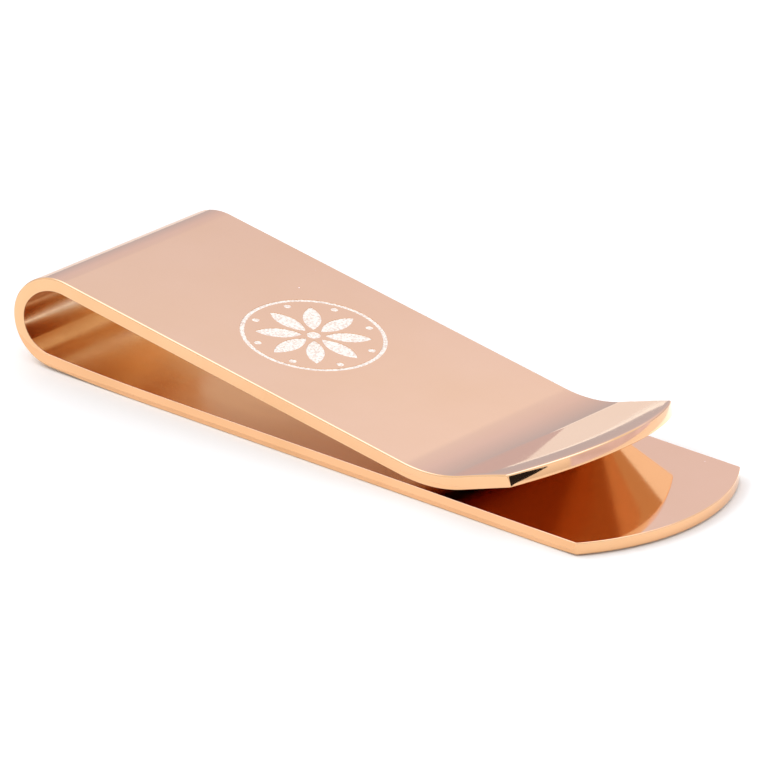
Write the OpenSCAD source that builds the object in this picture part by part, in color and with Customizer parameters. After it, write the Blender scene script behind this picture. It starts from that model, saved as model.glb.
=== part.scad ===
// Money clip bent from one strip of polished metal.
//
// The strip lies on its lower leaf, turns back over itself through a teardrop
// bend, slopes down to a pinch line just above the lower leaf, and ends in an
// upturned lip. Both ends are rounded in plan and keep sharp corners.
//
// +X runs along the clip from the bend to the tips, +Z is up, and the origin
// is on the resting plane, midway along the length and the width.

/* [Strip] */
// Width of the strip
strip_w = 19; // [13:0.5:30]
// Thickness of the strip
strip_t = 1.1; // [0.7:0.05:1.6]
// Bulge of each rounded end past its corners
tip_bulge = 3.2; // [1:0.1:6]

/* [Lower leaf] */
// Length of the flat leaf, from the heel to the corners of its tip
lower_l = 43.4; // [30:0.2:65]

/* [Bend] */
// Inside radius of the shallow heel that lifts off the resting plane
heel_in_r = 200; // [100:5:300]
// Angle turned by the heel
heel_a = 2.9; // [1:0.1:4]
// Inside radius of the foot of the bend
foot_in_r = 3.1; // [2:0.1:5]
// Angle turned by the foot
foot_a = 37.3; // [25:0.1:45]
// Inside radius of the back of the bend
back_in_r = 2.25; // [1.5:0.05:4]
// Angle turned by the back
back_a = 87.6; // [70:0.1:95]
// Inside radius of the crown of the bend
crown_in_r = 4; // [3:0.1:6]

/* [Upper leaf] */
// Length of the straight upper leaf
upper_l = 34.9; // [25:0.1:50]
// Gap between the two leaves at the pinch line
pinch_gap = 0.37; // [0.1:0.01:1]
// Radius of the underside of the pinch curve
pinch_under_r = 13.7; // [8:0.1:20]
// Angle turned up by the pinch curve
pinch_a = 26.5; // [15:0.1:35]
// Length of the lip, from the pinch curve to the corners of its tip
lip_l = 4.9; // [2:0.1:10]

/* [Engraved mark] */
// Outer diameter of the ring round the mark
mark_d = 11.4; // [6:0.1:12]
// Width of the ring's line
mark_line_w = 0.35; // [0.2:0.01:0.5]
// Number of petals
petal_count = 8; // [5:1:10]
// Width of one petal
petal_w = 1.45; // [0.4:0.05:1.5]
// Radius of the hub disc
hub_r = 0.55; // [0.3:0.05:0.8]
// Clear space between the hub and the petals, and between the dots and the ring
mark_space = 0.3; // [0.15:0.05:0.4]
// Clear space between the petals' outer tips and the ring
petal_space = 0.8; // [0.3:0.05:1]
// Radius of the dots between the petals
dot_r = 0.3; // [0.15:0.05:0.4]
// Depth of the engraving below the leaf's surface
mark_depth = 0.08; // [0.05:0.01:0.15]
// Thickness of the frosted layer on the floor of the engraving
frost_t = 0.05; // [0.02:0.01:0.05]

/* [Hidden] */
$fn = 96;

ROSE_GOLD = [0.93, 0.67, 0.53];
FROSTED = [0.98, 0.94, 0.90];

// Centreline radii
heel_r = heel_in_r + strip_t / 2;
foot_r = foot_in_r + strip_t / 2;
back_r = back_in_r + strip_t / 2;
crown_r = crown_in_r + strip_t / 2;
pinch_r = pinch_under_r - strip_t / 2;

// Radius of the arc through a tip's two corners and the top of its bulge
tip_r = (pow(strip_w / 2, 2) + pow(tip_bulge, 2)) / (2 * tip_bulge);

// A petal reaches from the hub's clear space to the ring's
petal_l = mark_d / 2 - mark_line_w - petal_space - hub_r - mark_space;

// A pose is [x, z, heading] of the centreline in the side view, in the frame
// whose x is 0 where the heel starts. The heading turns clockwise round the bend.

// Centre of an arc that starts at pose p and turns to the side given by the sign of a
function arc_centre(p, r, a) = [p[0] + sign(a) * r * sin(p[2]), p[1] - sign(a) * r * cos(p[2])];

// Pose after an arc of centreline radius r through a degrees, clockwise when positive
function after_arc(p, r, a) =
    let (c = arc_centre(p, r, a), h = p[2] - a)
    [c[0] - sign(a) * r * sin(h), c[1] + sign(a) * r * cos(h), h];

// Pose after a straight stretch of length l
function after_run(p, l) = [p[0] + l * cos(p[2]), p[1] + l * sin(p[2]), p[2]];

// The bend flexes as one hinge at back_mid, on the outer surface of the strip, so
// that opening the clip only parts the inner edges of the cut there.
heel_start = [0, strip_t / 2, 180];
foot_start = after_arc(heel_start, heel_r, heel_a);
back_start = after_arc(foot_start, foot_r, foot_a);
back_mid = after_arc(back_start, back_r, back_a / 2);
crown_start = after_arc(back_start, back_r, back_a);

// The upper leaf slopes down by the angle that brings the underside of the
// pinch curve to pinch_gap above the lower leaf. With the crown's centre at
// height crown_z, that angle s solves side * cos(s) - upper_l * sin(s) = drop.
crown_z = arc_centre(crown_start, crown_r, 1)[1];
side = crown_r + pinch_r;
drop = strip_t + pinch_gap + strip_t / 2 + pinch_r - crown_z;
upper_slope = acos(drop / norm([side, upper_l])) - atan2(upper_l, side);

crown_a = crown_start[2] + upper_slope;
upper_start = after_arc(crown_start, crown_r, crown_a);
pinch_start = after_run(upper_start, upper_l);
lip_start = after_arc(pinch_start, pinch_r, -pinch_a);

// Middle of the overall length, between the back of the bend and the lower tip
back_x = arc_centre(back_start, back_r, 1)[0] - back_r - strip_t / 2;
middle_x = (back_x + lower_l + tip_bulge) / 2;

// Places its children with their x axis along the strip at pose p
module at_pose(p) {
    translate([p[0] - middle_x, 0, p[1]])
        rotate([0, -p[2], 0])
            children();
}

// Arc of strip from pose p, with centreline radius r, through a degrees
module strip_arc(p, r, a) {
    c = arc_centre(p, r, a);
    first_spoke = a > 0 ? p[2] + 90 - a : p[2] - 90;
    translate([c[0] - middle_x, 0, c[1]])
        rotate([90, 0, 0])
            rotate([0, 0, first_spoke])
                rotate_extrude(angle = abs(a))
                    translate([r - strip_t / 2, -strip_w / 2])
                        square([strip_t, strip_w]);
}

// Plan of a strip end: l long to its corners, then the rounded tip
module end_plan(l) {
    translate([0, -strip_w / 2])
        square([l, strip_w]);
    intersection() {
        translate([l + tip_bulge - tip_r, 0])
            circle(r = tip_r);
        translate([l - tip_bulge / 4, -strip_w / 2])
            square([2 * tip_bulge, strip_w]);
    }
}

// Plan of one petal, pointing along +X from its inner tip
module petal_plan() {
    arc_r = (pow(petal_l, 2) + pow(petal_w, 2)) / (4 * petal_w);
    intersection_for (side_y = [-1, 1])
        translate([petal_l / 2, side_y * (arc_r - petal_w / 2)])
            circle(r = arc_r);
}

module ring_plan() {
    difference() {
        circle(r = mark_d / 2);
        circle(r = mark_d / 2 - mark_line_w);
    }
}

module petals_plan() {
    for (i = [0 : petal_count - 1])
        rotate(i * 360 / petal_count)
            translate([hub_r + mark_space, 0])
                petal_plan();
}

module dots_plan() {
    circle(r = hub_r);
    for (i = [0 : petal_count - 1])
        rotate((i + 0.5) * 360 / petal_count)
            translate([mark_d / 2 - mark_line_w - mark_space - dot_r, 0])
                circle(r = dot_r);
}

// Stands its children, a plan of the mark, on the floor of the engraving
module on_mark_floor(height) {
    at_pose(upper_start)
        translate([upper_l / 2, 0, strip_t / 2 - mark_depth])
            linear_extrude(height)
                children();
}

module lower_leaf() {
    color(ROSE_GOLD)
        translate([-middle_x, 0, 0])
            linear_extrude(strip_t)
                end_plan(lower_l);
}

module heel() {
    color(ROSE_GOLD)
        strip_arc(heel_start, heel_r, heel_a);
}

module bend_foot() {
    color(ROSE_GOLD)
        strip_arc(foot_start, foot_r, foot_a);
}

module bend_back_low() {
    color(ROSE_GOLD)
        strip_arc(back_start, back_r, back_a / 2);
}

module bend_back_high() {
    color(ROSE_GOLD)
        strip_arc(back_mid, back_r, back_a / 2);
}

module bend_crown() {
    color(ROSE_GOLD)
        strip_arc(crown_start, crown_r, crown_a);
}

module upper_leaf() {
    color(ROSE_GOLD)
        difference() {
            at_pose(upper_start)
                translate([0, -strip_w / 2, -strip_t / 2])
                    cube([upper_l, strip_w, strip_t]);
            on_mark_floor(strip_t) {
                ring_plan();
                petals_plan();
                dots_plan();
            }
        }
}

module pinch_curve() {
    color(ROSE_GOLD)
        strip_arc(pinch_start, pinch_r, -pinch_a);
}

module thumb_lip() {
    color(ROSE_GOLD)
        at_pose(lip_start)
            translate([0, 0, -strip_t / 2])
                linear_extrude(strip_t)
                    end_plan(lip_l);
}

module mark_ring() {
    color(FROSTED)
        on_mark_floor(frost_t)
            ring_plan();
}

module mark_petals() {
    color(FROSTED)
        on_mark_floor(frost_t)
            petals_plan();
}

module mark_dots() {
    color(FROSTED)
        on_mark_floor(frost_t)
            dots_plan();
}

lower_leaf();
heel();
bend_foot();
bend_back_low();
bend_back_high();
bend_crown();
upper_leaf();
pinch_curve();
thumb_lip();
mark_ring();
mark_petals();
mark_dots();
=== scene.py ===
import math

import bpy
import bmesh
from mathutils import Matrix, Vector


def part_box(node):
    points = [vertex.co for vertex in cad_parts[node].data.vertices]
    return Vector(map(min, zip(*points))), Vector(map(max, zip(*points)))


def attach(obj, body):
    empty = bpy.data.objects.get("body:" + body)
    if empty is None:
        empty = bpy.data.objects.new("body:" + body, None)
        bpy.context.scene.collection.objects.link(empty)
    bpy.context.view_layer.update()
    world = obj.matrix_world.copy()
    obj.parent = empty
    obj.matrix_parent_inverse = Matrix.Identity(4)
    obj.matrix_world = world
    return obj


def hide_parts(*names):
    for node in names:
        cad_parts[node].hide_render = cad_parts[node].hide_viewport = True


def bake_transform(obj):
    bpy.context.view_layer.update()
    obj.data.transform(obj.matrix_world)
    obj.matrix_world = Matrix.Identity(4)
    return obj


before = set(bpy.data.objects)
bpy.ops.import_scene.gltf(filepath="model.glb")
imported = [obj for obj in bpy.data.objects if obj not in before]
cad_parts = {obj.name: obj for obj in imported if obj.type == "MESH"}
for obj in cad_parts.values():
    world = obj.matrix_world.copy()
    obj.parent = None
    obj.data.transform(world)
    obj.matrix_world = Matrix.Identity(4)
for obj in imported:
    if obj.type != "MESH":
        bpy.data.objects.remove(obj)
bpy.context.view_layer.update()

# Money clip: one strip of mirror-polished rose gold plate with an engraved mark, on
# a white floor. Everything is in metres, in the CAD's frame: +X runs along the clip
# from the bend to the tips, +Y across the strip, +Z up.

MM = 0.001

# ---------------------------------------------------------------- the strip's form

# Thickness, width and where the heel starts come from the CAD's parts
leaf_low, leaf_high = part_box("lower_leaf")
THICK = leaf_high.z - leaf_low.z
WIDTH = leaf_high.y - leaf_low.y
HEEL_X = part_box("heel")[1].x

# The side profile, as in the CAD: centreline radii and angles of each arc
TIP_BULGE = 3.2 * MM
HEEL_R = 200.55 * MM
HEEL_TURN = 2.9
FOOT_R = 3.65 * MM
FOOT_TURN = 37.3
BACK_R = 2.8 * MM
BACK_TURN = 87.6
CROWN_R = 4.55 * MM
UPPER_L = 34.9 * MM
PINCH_R = 13.15 * MM
PINCH_TURN = 26.5
PINCH_GAP = 0.37 * MM
LIP_L = 4.9 * MM

# How far the bend's own piece reaches into each flat leaf
SEAM_REACH = 1.2 * MM

# Rounding of the edges of the outer and inner faces, and of the tips' corners in plan
EDGE_R = 0.15 * MM
INNER_EDGE_R = 0.07 * MM
EDGE_STEPS = 4
CORNER_R = 0.3 * MM
CORNER_STEPS = 6

# Degrees between two stations on the bend, on the shallow heel and on the pinch curve
BEND_STEP = 0.6
HEEL_STEP = 0.2
PINCH_STEP = 0.3

# In plan, u runs along the strip towards the tip from a line through its corners. One
# arc goes through the corners and the top of the bulge.
TIP_R = ((WIDTH / 2) ** 2 + TIP_BULGE ** 2) / (2 * TIP_BULGE)
TIP_CENTRE_U = TIP_BULGE - TIP_R
TIP_ARC_STEPS = 64
# A tip takes over from the straight edges this far back from its corners
TIP_START = 4.5 * MM
TIP_START_STEPS = 8

# Polishing has worn the outer face down towards each tip's rounded edge: by this much
# at the edge itself, fading out over POLISH_REACH
UPPER_POLISH_DROP = 0.10 * MM
LOWER_POLISH_DROP = 0.12 * MM
POLISH_REACH = 3.0 * MM
POLISH_STEPS = 12
# Spokes carry that shape this share of the way from the rim to a point on the middle
SPOKE_SHARE = 0.4
SPOKE_MIDDLE_U = -TIP_START


class Pose:
    """A place on the strip's centreline: x and z, and the heading in degrees."""

    def __init__(self, x, z, heading):
        self.x = x
        self.z = z
        self.heading = heading

    def along(self):
        turn = math.radians(self.heading)
        return Vector((math.cos(turn), 0, math.sin(turn)))

    def outward(self):
        turn = math.radians(self.heading)
        return Vector((-math.sin(turn), 0, math.cos(turn)))

    def point(self, u, y, height):
        """The point u along the heading, y across and height outward from here."""
        at = Vector((self.x, 0, self.z)) + u * self.along() + height * self.outward()
        return Vector((at.x, y, at.z))

    def after_run(self, length):
        at = self.point(length, 0, 0)
        return Pose(at.x, at.z, self.heading)

    def after_arc(self, radius, turn):
        """The pose after an arc that turns clockwise where turn is positive."""
        side = math.copysign(radius, turn)
        centre = self.point(0, 0, -side)
        ended = Pose(centre.x, centre.z, self.heading - turn)
        at = ended.point(0, 0, side)
        return Pose(at.x, at.z, ended.heading)


def arc_stations(start, radius, turn, step=BEND_STEP):
    """Poses along an arc, after its start, about step degrees apart."""
    count = max(2, round(abs(turn) / step))
    return [start.after_arc(radius, turn * i / count) for i in range(1, count + 1)]


heel_start = Pose(HEEL_X, THICK / 2, 180)
foot_start = heel_start.after_arc(HEEL_R, HEEL_TURN)
back_start = foot_start.after_arc(FOOT_R, FOOT_TURN)
crown_start = back_start.after_arc(BACK_R, BACK_TURN)

# The upper leaf's slope brings the pinch curve's underside to PINCH_GAP
crown_centre = crown_start.point(0, 0, -CROWN_R)
side = CROWN_R + PINCH_R
drop = THICK + PINCH_GAP + THICK / 2 + PINCH_R - crown_centre.z
reach = math.hypot(side, UPPER_L)
upper_slope = math.degrees(math.acos(drop / reach) - math.atan2(UPPER_L, side))
CROWN_TURN = crown_start.heading + upper_slope
upper_start = crown_start.after_arc(CROWN_R, CROWN_TURN)
pinch_start = upper_start.after_run(UPPER_L)
lip_start = pinch_start.after_arc(PINCH_R, -PINCH_TURN)

lower_seam = heel_start.after_run(-SEAM_REACH)
upper_seam = upper_start.after_run(SEAM_REACH)
lower_corner = Pose(leaf_high.x - TIP_BULGE, THICK / 2, 180)
lip_corner = lip_start.after_run(LIP_L)


def edge_levels():
    """(inset, height) from the outer face round the rounded edges to the inner face."""
    outer = []
    inner = []
    for radius, levels in ((EDGE_R, outer), (INNER_EDGE_R, inner)):
        for i in range(EDGE_STEPS + 1):
            turn = math.pi / 2 * (1 - i / EDGE_STEPS)
            inset = radius * (1 - math.cos(turn))
            levels.append((inset, THICK / 2 - radius + radius * math.sin(turn)))
    return outer + [(inset, -height) for inset, height in reversed(inner)]


def tip_rim():
    """The rounded end from y = +WIDTH / 2 to -WIDTH / 2, with the straight edges up to it.
    Each entry is (u, y, outward u, outward y)."""
    corner_y = WIDTH / 2 - CORNER_R
    corner_u = TIP_CENTRE_U + math.sqrt((TIP_R - CORNER_R) ** 2 - corner_y ** 2)
    first = math.atan2(corner_y, corner_u - TIP_CENTRE_U)
    half = []
    for i in range(1, TIP_START_STEPS):
        half.append((corner_u - TIP_START * (1 - i / TIP_START_STEPS), WIDTH / 2, 0, 1))
    for i in range(CORNER_STEPS + 1):
        turn = math.pi / 2 + (first - math.pi / 2) * i / CORNER_STEPS
        out_u, out_y = math.cos(turn), math.sin(turn)
        half.append((corner_u + CORNER_R * out_u, corner_y + CORNER_R * out_y, out_u, out_y))
    arc = []
    for i in range(1, TIP_ARC_STEPS):
        turn = first * (1 - 2 * i / TIP_ARC_STEPS)
        out_u, out_y = math.cos(turn), math.sin(turn)
        arc.append((TIP_CENTRE_U + TIP_R * out_u, TIP_R * out_y, out_u, out_y))
    return half + arc + [(u, -y, out_u, -out_y) for u, y, out_u, out_y in reversed(half)]


def worn_away(u, y, drop):
    """How far polishing has lowered the outer face near a tip's rounded edge, where it
    is lowered by drop at the edge itself."""
    from_edge = TIP_R - math.hypot(u - TIP_CENTRE_U, y)
    if u < TIP_CENTRE_U:
        return 0
    return drop * max(0, 1 - from_edge / POLISH_REACH) ** 2


def add_piece(name, mesh):
    """Puts a bmesh in the scene as a new object."""
    data = bpy.data.meshes.new(name)
    mesh.to_mesh(data)
    mesh.free()
    piece = bpy.data.objects.new(name, data)
    bpy.context.scene.collection.objects.link(piece)
    return piece


# Material slots of the strip's meshes
OUTER_FACE = 0
INNER_FACE = 1
EDGE_FLAT = 2


def strip_mesh(name, stations, tip_first=None, tip_last=None, polish_drop=0.0):
    """A closed stretch of the strip through stations, with rounded long edges and a
    rounded tip at the poses given, which are level with its corners. An end without a
    tip is cut square, for a neighbour. The rounded edges share the outer face's slot."""
    levels = edge_levels()
    mesh = bmesh.new()

    def column(pose, u, y, out_u, out_y):
        """Points from the outer face round the edge to the inner face."""
        return [
            mesh.verts.new(pose.point(u - inset * out_u, y - inset * out_y, height))
            for inset, height in levels
        ]

    def tip_column(pose, ahead, u, y, out_u, out_y):
        """A column at a tip, and a spoke on the outer face from it towards the middle."""
        made = []
        for inset, height in levels:
            in_u, in_y = u - inset * out_u, y - inset * out_y
            if height > 0:
                height -= worn_away(in_u, in_y, polish_drop)
            made.append(mesh.verts.new(pose.point(ahead * in_u, in_y, height)))
        top_u, top_y = u - EDGE_R * out_u, y - EDGE_R * out_y
        spoke = [made[0]]
        for i in range(1, POLISH_STEPS + 1):
            share = SPOKE_SHARE * i / POLISH_STEPS
            in_u = top_u + (SPOKE_MIDDLE_U - top_u) * share
            in_y = top_y * (1 - share)
            height = THICK / 2 - worn_away(in_u, in_y, polish_drop)
            spoke.append(mesh.verts.new(pose.point(ahead * in_u, in_y, height)))
        return made, spoke

    def face(corners, slot=OUTER_FACE):
        made = mesh.faces.new(corners)
        made.material_index = slot
        return made

    def wall(first, second):
        """The rounded edges, and the flat between them, from one column to the next."""
        for k in range(len(levels) - 1):
            slot = EDGE_FLAT if k == EDGE_STEPS else OUTER_FACE
            face((first[k], first[k + 1], second[k + 1], second[k]), slot)

    def close_square(left_end, right_end):
        cap = face(left_end + list(reversed(right_end)))
        for edge in cap.edges:
            edge.smooth = False

    def close_round(left_end, right_end, tip, ahead):
        rim = [tip_column(tip, ahead, *entry) for entry in tip_rim()]
        chain = [left_end] + [made for made, spoke in rim] + [right_end]
        for first, second in zip(chain, chain[1:]):
            wall(first, second)
        spokes = [spoke for made, spoke in rim]
        for first, second in zip(spokes, spokes[1:]):
            for k in range(POLISH_STEPS):
                face((first[k], second[k], second[k + 1], first[k + 1]))
        face([left_end[0]] + spokes[0])
        face([right_end[0]] + spokes[-1])
        face([left_end[0]] + [spoke[-1] for spoke in spokes] + [right_end[0]])
        face([made[-1] for made in reversed(chain)], INNER_FACE)

    left = [column(pose, 0, WIDTH / 2, 0, 1) for pose in stations]
    right = [column(pose, 0, -WIDTH / 2, 0, -1) for pose in stations]
    for i in range(len(stations) - 1):
        wall(left[i], left[i + 1])
        wall(right[i + 1], right[i])
        face((left[i][0], left[i + 1][0], right[i + 1][0], right[i][0]))
        face((right[i][-1], right[i + 1][-1], left[i + 1][-1], left[i][-1]), INNER_FACE)
    for end, tip, ahead in ((0, tip_first, -1), (-1, tip_last, 1)):
        if tip:
            close_round(left[end], right[end], tip, ahead)
        else:
            close_square(left[end], right[end])
    bmesh.ops.recalc_face_normals(mesh, faces=mesh.faces[:])
    for made in mesh.faces:
        made.smooth = True
    return add_piece(name, mesh)


def keep_flats_flat(piece):
    """Shades each flat flat right up to its rounded edges."""
    weighted = piece.modifiers.new("flats", "WEIGHTED_NORMAL")
    weighted.mode = "FACE_AREA"
    # The middle weight, at which only the faces' areas count
    weighted.weight = 50
    weighted.keep_sharp = True
    weighted.thresh = 0


def store_rest(piece):
    """Stores where each point is at rest, in millimetres, for the material to follow."""
    rest = piece.data.attributes.new("rest", "FLOAT_VECTOR", "POINT")
    places = [part for vertex in piece.data.vertices for part in vertex.co / MM]
    rest.data.foreach_set("vector", places)


# ---------------------------------------------------------------- the engraved mark

MARK_R = 5.7 * MM
MARK_LINE_W = 0.35 * MM
PETAL_COUNT = 8
PETAL_W = 1.45 * MM
HUB_R = 0.55 * MM
MARK_SPACE = 0.3 * MM
PETAL_SPACE = 0.8 * MM
DOT_R = 0.3 * MM
MARK_DEPTH = 0.08 * MM
RING_STEPS = 128
HUB_STEPS = 40
DOT_STEPS = 28
PETAL_SIDE_STEPS = 16
# The cutter stands this far out of the leaf
CUTTER_ABOVE = 1 * MM
# An edge between faces that turn by more than this many degrees is shaded sharp
SHARP_TURN = 60
WELD_DISTANCE = 0.0001 * MM


def circle(radius, steps, centre=(0, 0)):
    turns = [2 * math.pi * i / steps for i in range(steps)]
    return [
        (centre[0] + radius * math.cos(turn), centre[1] + radius * math.sin(turn))
        for turn in turns
    ]


def petal(turn):
    """One pointed petal, between two arcs, turned about the hub."""
    length = MARK_R - MARK_LINE_W - PETAL_SPACE - HUB_R - MARK_SPACE
    radius = (length ** 2 + PETAL_W ** 2) / (4 * PETAL_W)
    half = math.asin(length / 2 / radius)
    middle = HUB_R + MARK_SPACE + length / 2
    points = []
    for flip in (1, -1):
        for i in range(PETAL_SIDE_STEPS):
            angle = half * (2 * i / PETAL_SIDE_STEPS - 1)
            out = middle + flip * radius * math.sin(angle)
            points.append((out, flip * (radius * math.cos(angle) - radius + PETAL_W / 2)))
    cosine, sine = math.cos(turn), math.sin(turn)
    return [(cosine * out - sine * over, sine * out + cosine * over) for out, over in points]


def mark_plans():
    """The outlines that the mark cuts inside its ring: hub, dots and petals."""
    plans = [circle(HUB_R, HUB_STEPS)]
    out = MARK_R - MARK_LINE_W - MARK_SPACE - DOT_R
    for i in range(PETAL_COUNT):
        between = (i + 0.5) * 2 * math.pi / PETAL_COUNT
        dot_centre = (out * math.cos(between), out * math.sin(between))
        plans.append(circle(DOT_R, DOT_STEPS, dot_centre))
        plans.append(petal(i * 2 * math.pi / PETAL_COUNT))
    return plans


def mark_cutter():
    """Prisms over the mark, from its floor to above the leaf."""
    mark_middle = upper_start.after_run(UPPER_L / 2)
    floor_height = THICK / 2 - MARK_DEPTH
    top_height = THICK / 2 + CUTTER_ABOVE
    mesh = bmesh.new()

    def ring_of(plan, height):
        return [mesh.verts.new(mark_middle.point(u, y, height)) for u, y in plan]

    def side_wall(low, high):
        for i in range(len(low)):
            j = (i + 1) % len(low)
            mesh.faces.new((low[i], low[j], high[j], high[i]))

    for plan in mark_plans():
        low = ring_of(plan, floor_height)
        high = ring_of(plan, top_height)
        mesh.faces.new(low)
        mesh.faces.new(high)
        side_wall(low, high)
    outer = circle(MARK_R, RING_STEPS)
    inner = circle(MARK_R - MARK_LINE_W, RING_STEPS)
    rings = [ring_of(outer, floor_height), ring_of(outer, top_height)]
    rings += [ring_of(inner, top_height), ring_of(inner, floor_height)]
    for i in range(len(rings)):
        side_wall(rings[i], rings[(i + 1) % len(rings)])
    bmesh.ops.recalc_face_normals(mesh, faces=mesh.faces[:])
    return add_piece("mark_cutter", mesh)


def engrave(piece):
    """Sinks the mark into the piece."""
    cutter = mark_cutter()
    cut = piece.modifiers.new("mark", "BOOLEAN")
    cut.operation = "DIFFERENCE"
    cut.solver = "EXACT"
    cut.object = cutter
    bpy.context.view_layer.update()
    evaluated = piece.evaluated_get(bpy.context.evaluated_depsgraph_get())
    data = bpy.data.meshes.new_from_object(evaluated)
    piece.modifiers.clear()
    piece.data = data
    bpy.data.objects.remove(cutter)
    mesh = bmesh.new()
    mesh.from_mesh(data)
    bmesh.ops.remove_doubles(mesh, verts=mesh.verts[:], dist=WELD_DISTANCE)
    sharp_turn = math.radians(SHARP_TURN)
    for edge in mesh.edges:
        if len(edge.link_faces) == 2 and edge.calc_face_angle(0) > sharp_turn:
            edge.smooth = False
    mesh.to_mesh(data)
    mesh.free()


# ---------------------------------------------------------------- materials

# Sockets of a Mix node that mixes colours, which share their names with other types
MIX_COLOUR_A = 6
MIX_COLOUR_B = 7
MIX_COLOUR_RESULT = 2


class Nodes:
    """Short calls for building one node tree."""

    def __init__(self, tree):
        self.tree = tree
        tree.nodes.clear()

    def add(self, kind, **values):
        node = self.tree.nodes.new(kind)
        for key, value in values.items():
            setattr(node, key, value)
        return node

    def link(self, source, target):
        self.tree.links.new(source, target)

    def feed(self, value, target):
        """Links a socket, or sets a number or a colour."""
        if isinstance(value, bpy.types.NodeSocket):
            self.link(value, target)
        elif isinstance(value, tuple):
            target.default_value = (*value, 1)
        else:
            target.default_value = value

    def coordinates(self, kind):
        return self.add("ShaderNodeTexCoord").outputs[kind]

    def split(self, vector):
        """The outputs X, Y and Z of a vector."""
        node = self.add("ShaderNodeSeparateXYZ")
        self.link(vector, node.inputs["Vector"])
        return node.outputs

    def noise(self, vector, scale, detail=2.0, roughness=0.5):
        node = self.add("ShaderNodeTexNoise")
        self.link(vector, node.inputs["Vector"])
        node.inputs["Scale"].default_value = scale
        node.inputs["Detail"].default_value = detail
        node.inputs["Roughness"].default_value = roughness
        return node.outputs["Fac"]

    def cells(self, vector, scale):
        node = self.add("ShaderNodeTexVoronoi")
        self.link(vector, node.inputs["Vector"])
        node.inputs["Scale"].default_value = scale
        return node.outputs["Distance"], node.outputs["Color"]

    def spread(self, value, source, result=(0.0, 1.0)):
        """Maps value from the range source to the range result, clamped."""
        node = self.add("ShaderNodeMapRange")
        self.link(value, node.inputs["Value"])
        node.inputs["From Min"].default_value = source[0]
        node.inputs["From Max"].default_value = source[1]
        node.inputs["To Min"].default_value = result[0]
        node.inputs["To Max"].default_value = result[1]
        return node.outputs["Result"]

    def math(self, kind, first, second):
        node = self.add("ShaderNodeMath", operation=kind)
        self.feed(first, node.inputs[0])
        self.feed(second, node.inputs[1])
        return node.outputs["Value"]

    def ramp(self, value, stops):
        node = self.add("ShaderNodeValToRGB")
        self.link(value, node.inputs["Fac"])
        ramp = node.color_ramp
        while len(ramp.elements) < len(stops):
            ramp.elements.new(0.5)
        for element, (at, colour) in zip(ramp.elements, stops):
            element.position = at
            element.color = (*colour, 1)
        return node.outputs["Color"]

    def stretched(self, vector, scale, turn=0.0):
        node = self.add("ShaderNodeMapping")
        self.link(vector, node.inputs["Vector"])
        node.inputs["Scale"].default_value = scale
        node.inputs["Rotation"].default_value = (0, 0, turn)
        return node.outputs["Vector"]

    def mix(self, factor, first, second):
        """A value between first and second."""
        node = self.add("ShaderNodeMix")
        self.feed(factor, node.inputs["Factor"])
        self.feed(first, node.inputs["A"])
        self.feed(second, node.inputs["B"])
        return node.outputs["Result"]

    def mix_colour(self, factor, first, second, blend="MIX"):
        node = self.add("ShaderNodeMix", data_type="RGBA", blend_type=blend)
        self.feed(factor, node.inputs["Factor"])
        self.feed(first, node.inputs[MIX_COLOUR_A])
        self.feed(second, node.inputs[MIX_COLOUR_B])
        return node.outputs[MIX_COLOUR_RESULT]

    def bump(self, height, distance, strength=1.0, under=None):
        node = self.add("ShaderNodeBump")
        self.link(height, node.inputs["Height"])
        node.inputs["Distance"].default_value = distance
        node.inputs["Strength"].default_value = strength
        if under is not None:
            self.link(under, node.inputs["Normal"])
        return node.outputs["Normal"]

    def surface(self, base, roughness, normal, metallic):
        shader = self.add("ShaderNodeBsdfPrincipled")
        self.link(base, shader.inputs["Base Color"])
        self.link(roughness, shader.inputs["Roughness"])
        self.link(normal, shader.inputs["Normal"])
        shader.inputs["Metallic"].default_value = metallic
        out = self.add("ShaderNodeOutputMaterial")
        self.link(shader.outputs["BSDF"], out.inputs["Surface"])
        return shader

    def glow(self, colour, strength=1.0):
        shader = self.add("ShaderNodeEmission")
        self.link(colour, shader.inputs["Color"])
        shader.inputs["Strength"].default_value = strength
        out = self.add("ShaderNodeOutputMaterial")
        self.link(shader.outputs["Emission"], out.inputs["Surface"])


def new_material(name):
    material = bpy.data.materials.new(name)
    material.use_nodes = True
    return material, Nodes(material.node_tree)


# Most of a noise lies in this range, so what it drives is spread over it
NOISE_RANGE = (0.3, 0.7)

# Roughness of the mirror-polished outside, of the inside of the bend and the lower
# leaf, of the upper leaf's underside, and of the flat of the edges
SHINE = (0.03, 0.06)
INSIDE_HAZE = (0.16, 0.28)
UNDERSIDE_HAZE = (0.10, 0.18)
EDGE_HAZE = (0.05, 0.10)
HAZE_NOISE_RANGE = (0.35, 0.75)

# The two tints that each surface drifts between
PLATE_TINTS = ((0.81, 0.495, 0.262), (0.83, 0.515, 0.285))
INSIDE_TINTS = ((0.79, 0.52, 0.285), (0.82, 0.55, 0.32))
# The upper leaf's underside is tinted paler than the plate: painted reflection, so the light
# between the leaves comes out paler and brighter
UNDERSIDE_PAINTED_REFLECTION_TINTS = ((0.69, 0.53, 0.40), (0.73, 0.56, 0.43))
# The flat of the edges is tinted lighter than the plate: painted brightness for the light that the
# side faces catch
EDGE_PAINTED_LIGHT_TINTS = ((0.84, 0.485, 0.25), (0.93, 0.545, 0.30))

# Height of the surface's ripple, which is stronger on the flat of the edges
PLATE_RIPPLE = 0.001 * MM
EDGE_RIPPLE = 0.003 * MM

# How much longer than wide the haze's patches are
PLATE_STREAKS = 1.0
EDGE_STREAKS = 2.0
INSIDE_STREAKS = 6.0

# Around the pinch line, the lower leaf's inner face clears from the haze to the shine:
# it starts at CLEARS_AT and takes CLEARS_OVER, both in millimetres along +X
CLEARS_AT = 6.0
CLEARS_OVER = 9.0

# A thin clear lacquer keeps the plate from tarnishing
COAT = 0.15
COAT_ROUGHNESS = 0.03

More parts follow.
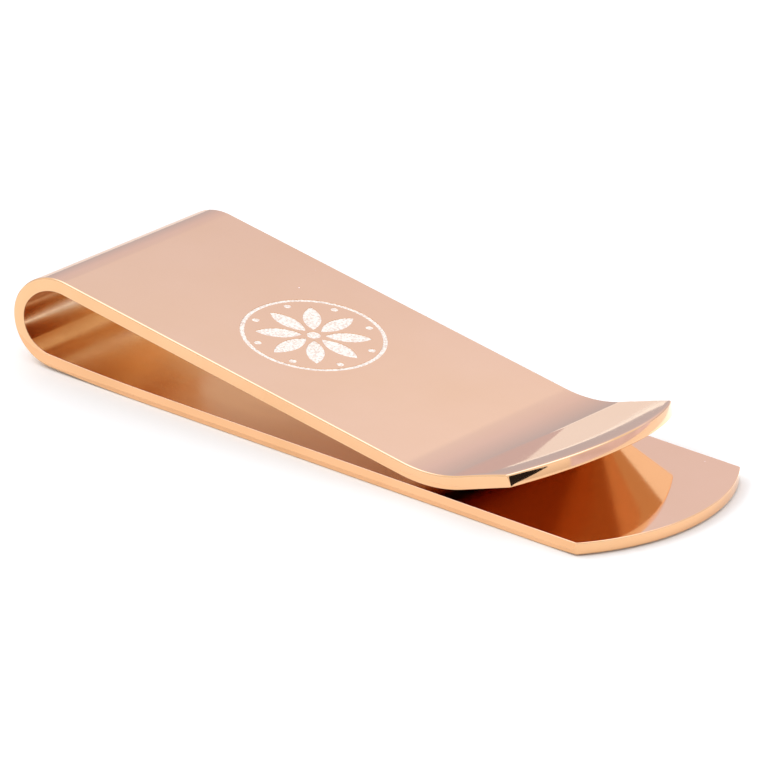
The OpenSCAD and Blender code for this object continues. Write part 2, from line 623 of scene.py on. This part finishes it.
# The cells whose random tint is in this range hold a speck of dust, which grows with it
DUST_PICK = (0.9, 1.0)
DUST_RADIUS = (0.0, 0.055)
DUST_ROUGHNESS = 0.7
DUST_TINT = (0.98, 0.86, 0.78)

# Hairlines are the peaks of a noise that is stretched along a slant, in radians
HAIRLINE_STRETCH = (0.25, 9.0, 9.0)
HAIRLINE_SLANT = 0.35
HAIRLINE_PEAKS = (0.66, 0.74)
HAIRLINE_HEIGHT = 0.002 * MM
HAIRLINE_STRENGTH = 0.2


def rose_gold(name, haze_range, tints, ripple, streaks, clears_at=None):
    """Rose gold plate: a faint ripple, hairlines from handling, a haze that comes and
    goes, and a few specks of dust. Noise scales are per millimetre. From clears_at,
    along +X, the haze clears to the shine of the outside."""
    material, nodes = new_material(name)
    at = nodes.add("ShaderNodeAttribute", attribute_name="rest").outputs["Vector"]
    cloud = nodes.noise(at, scale=0.12, detail=3.0)
    base = nodes.ramp(cloud, ((NOISE_RANGE[0], tints[0]), (NOISE_RANGE[1], tints[1])))

    along = nodes.stretched(at, (1.0 / streaks, 1.0, 1.0))
    haze_noise = nodes.noise(along, scale=0.35, detail=4.0, roughness=0.6)
    haze = nodes.spread(haze_noise, HAZE_NOISE_RANGE, haze_range)
    if clears_at is not None:
        clearing = (clears_at, clears_at + CLEARS_OVER)
        cleared = nodes.spread(nodes.split(at)["X"], clearing)
        haze = nodes.mix(cleared, haze, nodes.spread(cloud, NOISE_RANGE, SHINE))

    cell_distance, cell_tint = nodes.cells(at, scale=0.9)
    cell_pick = nodes.add("ShaderNodeSeparateColor")
    nodes.link(cell_tint, cell_pick.inputs["Color"])
    dust_radius = nodes.spread(cell_pick.outputs["Red"], DUST_PICK, DUST_RADIUS)
    dust = nodes.math("LESS_THAN", cell_distance, dust_radius)
    dust_haze = nodes.math("MULTIPLY", dust, DUST_ROUGHNESS)
    roughness = nodes.math("MAXIMUM", haze, dust_haze)
    speckled = nodes.mix_colour(dust, base, DUST_TINT)

    rippled = nodes.bump(nodes.noise(along, scale=0.5), ripple)
    hair_at = nodes.stretched(at, HAIRLINE_STRETCH, HAIRLINE_SLANT)
    hair_noise = nodes.noise(hair_at, scale=1.6, detail=1.0)
    hairs = nodes.spread(hair_noise, HAIRLINE_PEAKS)
    scratched = nodes.bump(hairs, HAIRLINE_HEIGHT, HAIRLINE_STRENGTH, rippled)

    shader = nodes.surface(speckled, roughness, scratched, metallic=1.0)
    shader.inputs["Coat Weight"].default_value = COAT
    shader.inputs["Coat Roughness"].default_value = COAT_ROUGHNESS
    return material


FROST_STOPS = ((0.42, (0.68, 0.55, 0.46)), (0.54, (0.86, 0.80, 0.73)))
FROST_ROUGHNESS = (0.45, 0.9)
FROST_NOISE_RANGE = (0.3, 0.6)
STIPPLE_HEIGHT = 0.03 * MM


def frosted():
    """Laser-frosted metal: nearly white, matt and stippled. Noise scales are per metre."""
    material, nodes = new_material("mark_frosted")
    at = nodes.coordinates("Object")
    fine = nodes.noise(at, scale=5200, roughness=0.7)
    base = nodes.ramp(fine, FROST_STOPS)
    roughness = nodes.spread(fine, FROST_NOISE_RANGE, FROST_ROUGHNESS)
    stipple = nodes.bump(nodes.noise(at, scale=7000), STIPPLE_HEIGHT, strength=0.6)
    nodes.surface(base, roughness, stipple, metallic=0.1)
    return material


POLISHED = rose_gold("rose_gold_polished", SHINE, PLATE_TINTS, PLATE_RIPPLE, PLATE_STREAKS)
INSIDE = rose_gold(
    "rose_gold_inside", INSIDE_HAZE, INSIDE_TINTS, PLATE_RIPPLE, INSIDE_STREAKS
)
UNDERSIDE = rose_gold(
    "rose_gold_underside", UNDERSIDE_HAZE, UNDERSIDE_PAINTED_REFLECTION_TINTS, PLATE_RIPPLE, INSIDE_STREAKS
)
LOWER_INSIDE = rose_gold(
    "rose_gold_lower_inside", INSIDE_HAZE, PLATE_TINTS, PLATE_RIPPLE, INSIDE_STREAKS, CLEARS_AT
)
EDGE = rose_gold("rose_gold_edge", EDGE_HAZE, EDGE_PAINTED_LIGHT_TINTS, EDGE_RIPPLE, EDGE_STREAKS)
FROSTED = frosted()

# ---------------------------------------------------------------- the pieces

bend_stations = [lower_seam, heel_start]
bend_stations += arc_stations(heel_start, HEEL_R, HEEL_TURN, HEEL_STEP)
bend_stations += arc_stations(foot_start, FOOT_R, FOOT_TURN)
bend_stations += arc_stations(back_start, BACK_R, BACK_TURN)
bend_stations += arc_stations(crown_start, CROWN_R, CROWN_TURN)
bend_stations += [upper_seam]
upper_stations = [upper_seam, pinch_start]
upper_stations += arc_stations(pinch_start, PINCH_R, -PINCH_TURN, PINCH_STEP)
upper_stations += [lip_corner.after_run(-TIP_START)]
lower_stations = [lower_corner.after_run(TIP_START), lower_seam]

strip_lower = strip_mesh(
    "strip_lower", lower_stations, tip_first=lower_corner, polish_drop=LOWER_POLISH_DROP
)
strip_bend = strip_mesh("strip_bend", bend_stations)
strip_upper = strip_mesh(
    "strip_upper", upper_stations, tip_last=lip_corner, polish_drop=UPPER_POLISH_DROP
)
engrave(strip_upper)

# In the order of the slots OUTER_FACE, INNER_FACE and EDGE_FLAT
finishes = {
    strip_lower: (POLISHED, LOWER_INSIDE, EDGE),
    strip_bend: (POLISHED, INSIDE, EDGE),
    strip_upper: (POLISHED, UNDERSIDE, EDGE),
}
for piece, materials in finishes.items():
    store_rest(piece)
    for material in materials:
        piece.data.materials.append(material)
    keep_flats_flat(piece)

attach(strip_lower, "base")
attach(strip_upper, "arm")
# A height just under the upper leaf's underside, by FLEX_CLEAR
FLEX_CLEAR = 0.1 * MM
flex_to = upper_seam.point(0, 0, -THICK / 2).z - FLEX_CLEAR
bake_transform(strip_bend)

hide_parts("lower_leaf")
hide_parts("heel", "bend_foot", "bend_back_low", "bend_back_high", "bend_crown")
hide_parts("upper_leaf", "pinch_curve", "thumb_lip")

for name in ("mark_ring", "mark_petals", "mark_dots"):
    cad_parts[name].material_slots[0].material = FROSTED

# ---------------------------------------------------------------- floor


def stage_mesh(name, corners, material):
    """A flat sheet that isn't part of the object."""
    data = bpy.data.meshes.new(name)
    data.from_pydata(corners, [], [(0, 1, 2, 3)])
    data.materials.append(material)
    made = bpy.data.objects.new(name, data)
    bpy.context.scene.collection.objects.link(made)
    return made


def level_corners(low, high):
    """The corners of a level rectangle from corner low to corner high."""
    return [(low[0], low[1], 0), (high[0], low[1], 0), (high[0], high[1], 0), (low[0], high[1], 0)]


FLOOR_HALF = 3.0
FLOOR_STOPS = ((0.3, (0.895, 0.895, 0.895)), (0.7, (0.9, 0.9, 0.9)))
FLOOR_ROUGHNESS = (0.75, 0.9)
FLOOR_GRAIN = 0.01 * MM


def floor_material():
    material, nodes = new_material("floor_white")
    at = nodes.coordinates("Object")
    tone = nodes.ramp(nodes.noise(at, scale=6.0), FLOOR_STOPS)
    roughness = nodes.spread(nodes.noise(at, scale=40.0), NOISE_RANGE, FLOOR_ROUGHNESS)
    normal = nodes.bump(nodes.noise(at, scale=900.0), FLOOR_GRAIN, strength=0.1)
    nodes.surface(tone, roughness, normal, metallic=0.0)
    return material


floor_corners = level_corners((-FLOOR_HALF, -FLOOR_HALF), (FLOOR_HALF, FLOOR_HALF))
stage_mesh("floor", floor_corners, floor_material())

# ---------------------------------------------------------------- what the metal reflects

# The mirror finish shows a studio that isn't in view. Glowing cards stand in for it,
# tuned at the photograph's angle. They show in reflections only.


def shows_in_reflections_only(made):
    made.visible_camera = False
    made.visible_diffuse = False
    made.visible_shadow = False
    made.visible_transmission = False


def card(name, toward, distance, foot, size, material, lift=0):
    """An upright card. toward is its direction from the clip in degrees from +X, foot
    the height of its foot, size its width and height. Its own X runs across it, from
    its middle, and its own Z up from its foot. lift raises the +X end of its foot."""
    half = size[0] / 2
    corners = [(-half, 0, 0), (half, 0, lift), (half, 0, size[1]), (-half, 0, size[1])]
    made = stage_mesh(name, corners, material)
    turn = math.radians(toward)
    made.location = (distance * math.cos(turn), distance * math.sin(turn), foot)
    made.rotation_euler = (0, 0, turn + math.pi / 2)
    shows_in_reflections_only(made)


def level_card(name, low, high, height, material, toward=0):
    """A level card from corner low to corner high, turned by toward degrees from +X."""
    made = stage_mesh(name, level_corners(low, high), material)
    made.location = (0, 0, height)
    made.rotation_euler = (0, 0, math.radians(toward))
    shows_in_reflections_only(made)


def mottled_glow(name, low, high):
    """A soft glow that drifts between two colours."""
    material, nodes = new_material(name)
    cloud = nodes.noise(nodes.coordinates("Object"), scale=9.0)
    nodes.glow(nodes.ramp(cloud, ((NOISE_RANGE[0], low), (NOISE_RANGE[1], high))))
    return material


# The backdrop, a bright line where it meets the floor, then dim, and brighter and
# cooler higher up. The stops' colours are shares of BACKDROP_STRENGTH.
BACKDROP_TOWARD = 124.4
BACKDROP_DISTANCE = 0.3
BACKDROP_WIDTH = 1.0
BACKDROP_HIGH = 0.24
BACKDROP_STRENGTH = 1.5
BACKDROP_STOPS = (
    (0.0, (0.9, 0.9, 0.9)),
    (0.012, (0.9, 0.9, 0.9)),
    (0.014, (0.45, 0.43, 0.48)),
    (0.25, (0.54, 0.52, 0.62)),
    (0.53, (0.64, 0.62, 0.79)),
    (0.77, (0.66, 0.67, 0.87)),
    (0.84, (0.71, 0.73, 0.93)),
    (1.0, (0.74, 0.76, 1.0)),
)
# It dims a little along its own X
FALLOFF_RANGE = (-0.02, 0.045)
FALLOFF_STOPS = ((0.0, (1.0, 1.0, 1.0)), (1.0, (0.89, 0.9, 0.92)))


def backdrop_material():
    material, nodes = new_material("backdrop_glow")
    place = nodes.split(nodes.coordinates("Object"))
    height = nodes.spread(place["Z"], (0.0, BACKDROP_HIGH))
    across = nodes.spread(place["X"], FALLOFF_RANGE)
    tone = nodes.ramp(height, BACKDROP_STOPS)
    falloff = nodes.ramp(across, FALLOFF_STOPS)
    nodes.glow(nodes.mix_colour(1.0, tone, falloff, blend="MULTIPLY"), BACKDROP_STRENGTH)
    return material


card(
    "backdrop", toward=BACKDROP_TOWARD, distance=BACKDROP_DISTANCE, foot=0,
    size=(BACKDROP_WIDTH, BACKDROP_HIGH), material=backdrop_material(),
)
# A bright, cool softbox overhead, as low as the backdrop is high
level_card(
    "overhead", low=(-0.08, -0.2), high=(0.12, 0.3), height=BACKDROP_HIGH,
    material=mottled_glow("overhead_glow", (2.0, 2.15, 3.0), (2.2, 2.35, 3.3)),
    toward=BACKDROP_TOWARD,
)
# The floor behind the clip is a little dimmer than further back
level_card(
    "far_floor", low=(0.025, -0.06), high=(0.19, 0.06), height=0.4 * MM,
    material=mottled_glow("far_floor_glow", (0.97, 0.91, 0.91), (1.02, 0.96, 0.96)),
    toward=136.3,
)
# Something dark by the lip's near corner, which the lip's end shows as a dark notch
# that tapers away from the corner
card(
    "dark_corner", toward=-22.0, distance=36.3 * MM, foot=0.3 * MM,
    size=(11.2 * MM, 8.5 * MM), lift=8.0 * MM,
    material=mottled_glow("dark_corner_glow", (0.01, 0.01, 0.012), (0.04, 0.035, 0.04)),
)
# The floor just behind the lip is brighter
level_card(
    "lip_floor", low=(6.0 * MM, 9.8 * MM), high=(32.0 * MM, 26.0 * MM), height=0.3 * MM,
    material=mottled_glow("lip_floor_glow", (1.55, 1.55, 1.6), (1.65, 1.65, 1.7)),
)
# The lit floor that the lower leaf's near edge shows
level_card(
    "near_floor", low=(-36.0 * MM, -12.2 * MM), high=(26.2 * MM, -9.9 * MM), height=0.2 * MM,
    material=mottled_glow("near_floor_glow", (1.08, 1.02, 1.0), (1.16, 1.1, 1.08)),
)
# The pale room on the photograph's right
card(
    "room", toward=38.0, distance=0.28, foot=0.4 * MM, size=(0.34, 0.1),
    material=mottled_glow("room_glow", (0.72, 0.70, 0.95), (0.98, 0.97, 1.38)),
)

# ---------------------------------------------------------------- light


def direction(toward, rise):
    """The direction toward degrees from +X and rise degrees above the floor."""
    turn = math.radians(toward)
    out = math.cos(math.radians(rise))
    up = math.sin(math.radians(rise))
    return Vector((math.cos(turn) * out, math.sin(turn) * out, up))


# A weak softbox that gives the soft shadow. The metal doesn't show it.
KEY_SIZE = (0.2, 0.12)
KEY_POWER = 0.24
KEY_DISTANCE = 0.3
KEY_TOWARD = -135
KEY_RISE = 50

key_data = bpy.data.lights.new("key", "AREA")
key_data.shape = "RECTANGLE"
key_data.size, key_data.size_y = KEY_SIZE
key_data.energy = KEY_POWER
key = bpy.data.objects.new("key", key_data)
bpy.context.scene.collection.objects.link(key)
key_away = direction(KEY_TOWARD, KEY_RISE)
key.location = key_away * KEY_DISTANCE
key.rotation_euler = key_away.to_track_quat("Z", "Y").to_euler()
key.visible_glossy = False

# The sky is dimmer and a little warmer near the horizon. Its two tones are where the
# upward part of a direction is at the ends of SKY_RANGE.
SKY_RANGE = (0.0, 0.3)
SKY_STOPS = ((0.0, (0.74, 0.72, 0.72)), (1.0, (1.0, 1.0, 1.0)))
SKY_STRENGTH = 1.1

world = bpy.data.worlds.new("studio")
bpy.context.scene.world = world
world.use_nodes = True
sky = Nodes(world.node_tree)
sky_height = sky.spread(sky.split(sky.coordinates("Generated"))["Z"], SKY_RANGE)
sky_shader = sky.add("ShaderNodeBackground")
sky.link(sky.ramp(sky_height, SKY_STOPS), sky_shader.inputs["Color"])
sky_shader.inputs["Strength"].default_value = SKY_STRENGTH
sky_out = sky.add("ShaderNodeOutputWorld")
sky.link(sky_shader.outputs["Background"], sky_out.inputs["Surface"])

# ---------------------------------------------------------------- camera

# The photograph's angle: from the front right, looking down a little. The camera aims
# at a point to the right of the heel's start on the floor, and below it.
CAMERA_AZIMUTH = 41.522
CAMERA_ELEVATION = 22.897
CAMERA_DISTANCE = 703.8 * MM
CAMERA_LENS = 426.4
CAMERA_SENSOR = 36
CAMERA_CLIP = (0.01, 20)
AIM_RIGHT = 12.025 * MM
AIM_DOWN = 1.21 * MM

camera_data = bpy.data.cameras.new("camera")
camera_data.lens = CAMERA_LENS
camera_data.sensor_width = CAMERA_SENSOR
camera_data.clip_start, camera_data.clip_end = CAMERA_CLIP
camera = bpy.data.objects.new("camera", camera_data)
bpy.context.scene.collection.objects.link(camera)
azimuth = math.radians(CAMERA_AZIMUTH)
elevation = math.radians(CAMERA_ELEVATION)
camera_turn = Matrix.Rotation(azimuth, 3, "Z") @ Matrix.Rotation(math.pi / 2 - elevation, 3, "X")
camera_right = camera_turn @ Vector((1, 0, 0))
camera_up = camera_turn @ Vector((0, 1, 0))
camera_back = camera_turn @ Vector((0, 0, 1))
aim = Vector((HEEL_X, 0, 0)) + AIM_RIGHT * camera_right - AIM_DOWN * camera_up
camera.matrix_world = camera_turn.to_4x4()
camera.location = aim + CAMERA_DISTANCE * camera_back
bpy.context.scene.camera = camera
bpy.context.scene.view_settings.view_transform = "Standard"
# Light goes back and forth many times between the leaves
bpy.context.scene.cycles.glossy_bounces = 12
